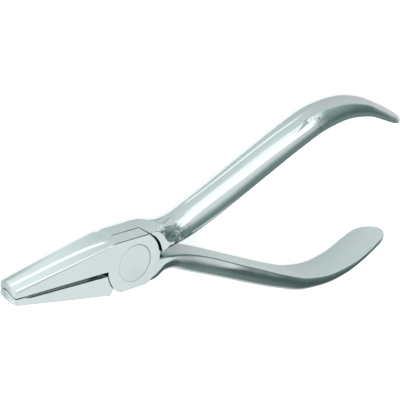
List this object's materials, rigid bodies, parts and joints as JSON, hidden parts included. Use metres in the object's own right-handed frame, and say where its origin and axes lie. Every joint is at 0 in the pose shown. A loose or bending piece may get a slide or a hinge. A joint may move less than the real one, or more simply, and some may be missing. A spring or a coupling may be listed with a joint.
{
  "type": "hollow chop pliers",
  "caption": "Polished steel bench pliers with a lap joint, a flush pivot rivet, bowed handles with flat paddles, and jaws that pair a long hollow with a rounded ridge.",
  "frame": {"origin": "middle of the rivet head's front face, on the pivot axis", "axes": "+X from the pivot to the handles, the jaws pointing along -X; +Y to the hollow jaw and the upper handle; +Z out of the joint's front face, along the pivot"},
  "size_m": [0.135, 0.0576, 0.0111],
  "materials": {
    "polished_steel_front": "mirror polished",
    "polished_steel_back": "mirror polished",
    "rivet_steel": "polished flush"
  },
  "bodies": {
    "hollow_half": {"hollow_jaw_half": "polished_steel_front", "pivot_rivet": "rivet_steel"},
    "round_half": {"round_jaw_half": "polished_steel_back"}
  },
  "joints": [
    {"name": "pivot", "type": "hinge", "parent": "hollow_half", "child": "round_half", "pos_m": [0, 0, 0], "axis": [0, 0, 1], "range_deg": [0, 65]}
  ]
}
